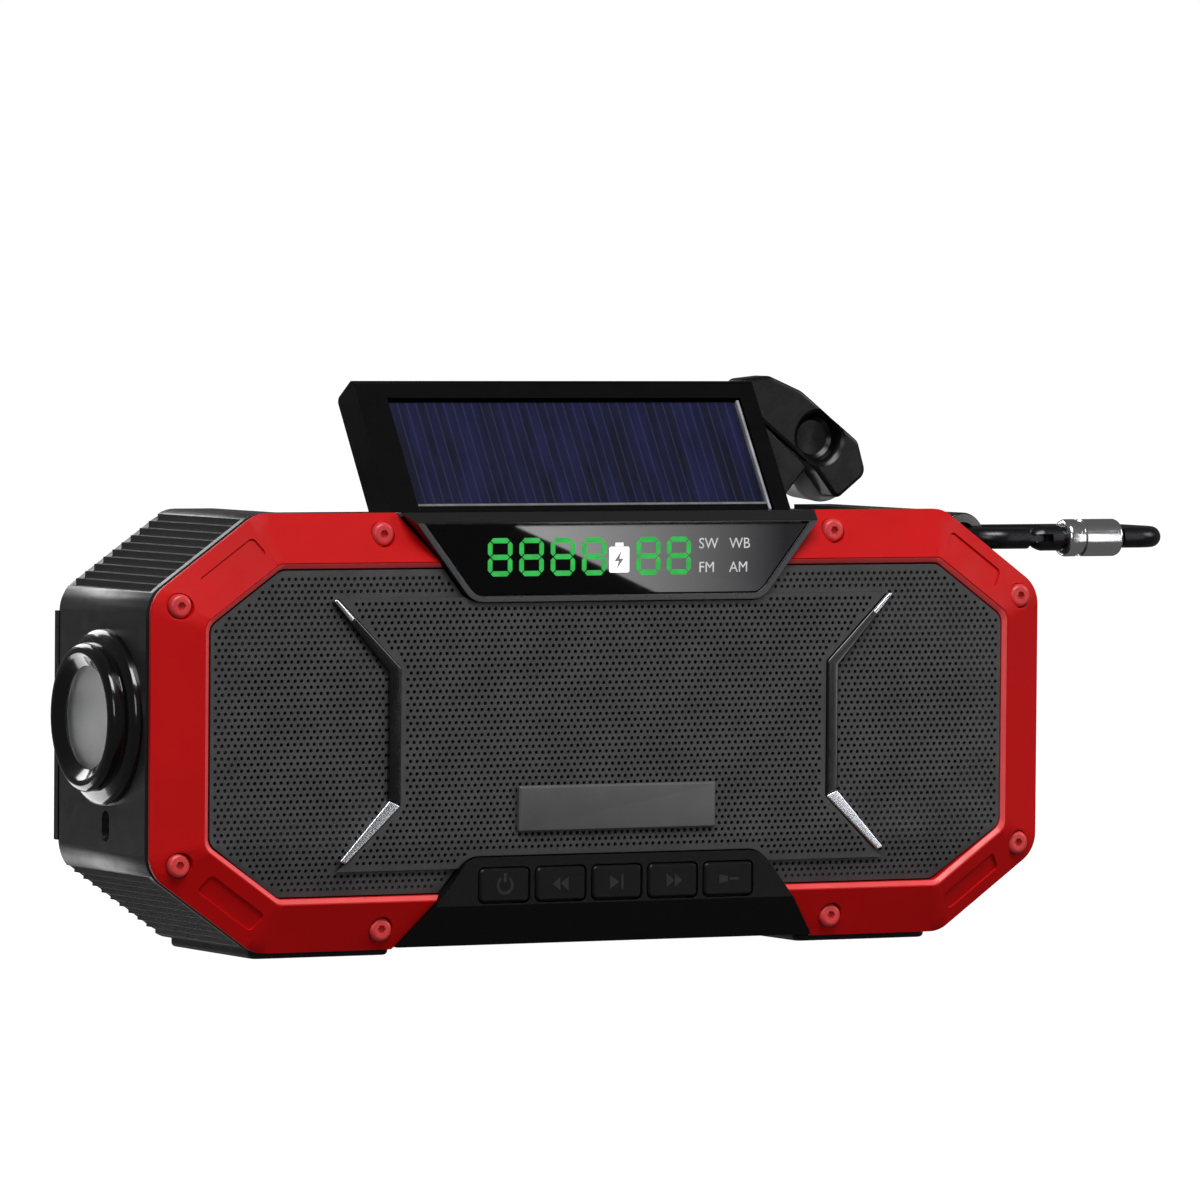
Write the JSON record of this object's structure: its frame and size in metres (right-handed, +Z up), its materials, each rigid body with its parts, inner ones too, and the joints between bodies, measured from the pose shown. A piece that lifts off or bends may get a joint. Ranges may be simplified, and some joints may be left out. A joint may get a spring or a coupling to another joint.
{
  "type": "emergency radio",
  "caption": "Eight-sided portable radio with a two-piece front frame, speaker grille, display, keys, end torch, tilting solar panel, rear generator crank and a carabiner.",
  "frame": {"origin": "on the plane the feet stand on, under the middle of the case", "axes": "+X to the right seen from the front, +Y to the back, +Z up"},
  "size_m": [0.2466, 0.0707, 0.115],
  "materials": {
    "case_plastic": "satin",
    "red_plastic": "satin",
    "grille_metal": "satin",
    "trim_black": "gloss",
    "plate_grey": "matte",
    "clear_lens": "gloss",
    "display_dark": "gloss",
    "cell_navy": "gloss",
    "board_green": "satin",
    "mirror_metal": "mirror",
    "rubber_black": "matte",
    "steel": "brushed",
    "grip_grey": "satin",
    "brass_bush": "satin",
    "gear_plastic": "satin",
    "magnet_grey": "satin",
    "copper_coil": "satin",
    "cone_paper": "matte",
    "switch_plastic": "satin",
    "cell_wrap": "gloss"
  },
  "bodies": {
    "case": {"battery_cells": "cell_wrap", "battery_holder": "case_plastic", "chevron_left": "trim_black", "chevron_right": "trim_black", "cone_left": "cone_paper", "cone_right": "cone_paper", "crank_bush": "brass_bush", "display_bezel": "trim_black", "display_lens": "clear_lens", "display_module": "display_dark", "ferrite_rod": "magnet_grey", "frame_left": "red_plastic", "frame_right": "red_plastic", "frame_screws": "red_plastic", "front_baffle": "case_plastic", "gearbox_plate": "steel", "gearbox_screws": "steel", "generator_case": "steel", "generator_coils": "copper_coil", "idler_axle": "steel", "key_switches": "switch_plastic", "keypad_board": "board_green", "keypad_panel": "case_plastic", "main_board": "board_green", "main_housing": "case_plastic", "nameplate": "plate_grey", "port_board": "board_green", "rear_cover": "case_plastic", "rear_screws": "steel", "rubber_base": "rubber_black", "speaker_grille": "grille_metal", "speaker_left": "magnet_grey", "speaker_right": "magnet_grey", "strap_lug": "case_plastic", "torch_bezel": "trim_black", "torch_board": "board_green", "torch_lens": "clear_lens", "torch_reflector": "mirror_metal"},
    "solar_panel": {"solar_tray": "case_plastic", "solar_cell": "cell_navy", "solar_cover": "clear_lens", "solar_pins": "steel"},
    "crank": {"crank_arm": "case_plastic", "crank_shaft": "steel", "crank_screw": "steel", "crank_gear": "gear_plastic", "knob_pin": "steel"},
    "knob": {"crank_knob": "grip_grey"},
    "idler": {"idler_gear": "gear_plastic"},
    "rotor": {"generator_rotor": "magnet_grey"},
    "carabiner": {"carabiner_body": "steel", "gate_pin": "steel"},
    "gate": {"carabiner_gate": "steel"},
    "sleeve": {"carabiner_sleeve": "steel"},
    "port_flap": {"port_flap": "case_plastic"},
    "key_power": {"key_power": "case_plastic"},
    "key_previous": {"key_previous": "case_plastic"},
    "key_play": {"key_play": "case_plastic"},
    "key_next": {"key_next": "case_plastic"},
    "key_light": {"key_light": "case_plastic"}
  },
  "joints": [
    {"name": "solar_tilt", "type": "hinge", "parent": "case", "child": "solar_panel", "pos_m": [0, -0.0141, 0.0844], "axis": [1, 0, 0], "range_deg": [-57, 33]},
    {"name": "crank_spin", "type": "hinge", "parent": "case", "child": "crank", "pos_m": [0.033, 0.0235, 0.0654], "axis": [0, 1, 0], "continuous": true},
    {"name": "knob_spin", "type": "hinge", "parent": "crank", "child": "knob", "pos_m": [0.0805, 0.0365, 0.096], "axis": [0, 1, 0], "continuous": true},
    {"name": "idler_spin", "type": "hinge", "parent": "case", "child": "idler", "pos_m": [0.033, 0.0085, 0.0502], "axis": [0, 1, 0], "continuous": true},
    {"name": "rotor_spin", "type": "hinge", "parent": "case", "child": "rotor", "pos_m": [0.033, -0.0015, 0.0318], "axis": [0, 1, 0], "continuous": true},
    {"name": "carabiner_swing", "type": "hinge", "parent": "case", "child": "carabiner", "pos_m": [0.0935, -0.0015, 0.0818], "axis": [0, 1, 0], "range_deg": [-110, 38]},
    {"name": "gate_swing", "type": "hinge", "parent": "carabiner", "child": "gate", "pos_m": [0.1071, -0.0125, 0.0818], "axis": [0, 0, 1], "range_deg": [0, 22], "stiffness_Nm_per_rad": 0.004, "springref_deg": -17.19},
    {"name": "sleeve_slide", "type": "slide", "parent": "gate", "child": "sleeve", "axis": [1, 0, 0], "range_m": [0, 0.0045]},
    {"name": "port_flap_hinge", "type": "hinge", "parent": "case", "child": "port_flap", "pos_m": [0.0993, -0.0005, 0.0352], "axis": [0, 1, 0], "range_deg": [0, 95]},
    {"name": "key_power_press", "type": "slide", "parent": "case", "child": "key_power", "axis": [0, 1, 0], "range_m": [0, 0.0008], "stiffness_N_per_m": 1500},
    {"name": "key_previous_press", "type": "slide", "parent": "case", "child": "key_previous", "axis": [0, 1, 0], "range_m": [0, 0.0008], "stiffness_N_per_m": 1500},
    {"name": "key_play_press", "type": "slide", "parent": "case", "child": "key_play", "axis": [0, 1, 0], "range_m": [0, 0.0008], "stiffness_N_per_m": 1500},
    {"name": "key_next_press", "type": "slide", "parent": "case", "child": "key_next", "axis": [0, 1, 0], "range_m": [0, 0.0008], "stiffness_N_per_m": 1500},
    {"name": "key_light_press", "type": "slide", "parent": "case", "child": "key_light", "axis": [0, 1, 0], "range_m": [0, 0.0008], "stiffness_N_per_m": 1500}
  ],
  "couplings": [
    {"joint": "idler_spin", "follows": "crank_spin", "ratio": -2.8},
    {"joint": "rotor_spin", "follows": "crank_spin", "ratio": 10.08}
  ]
}
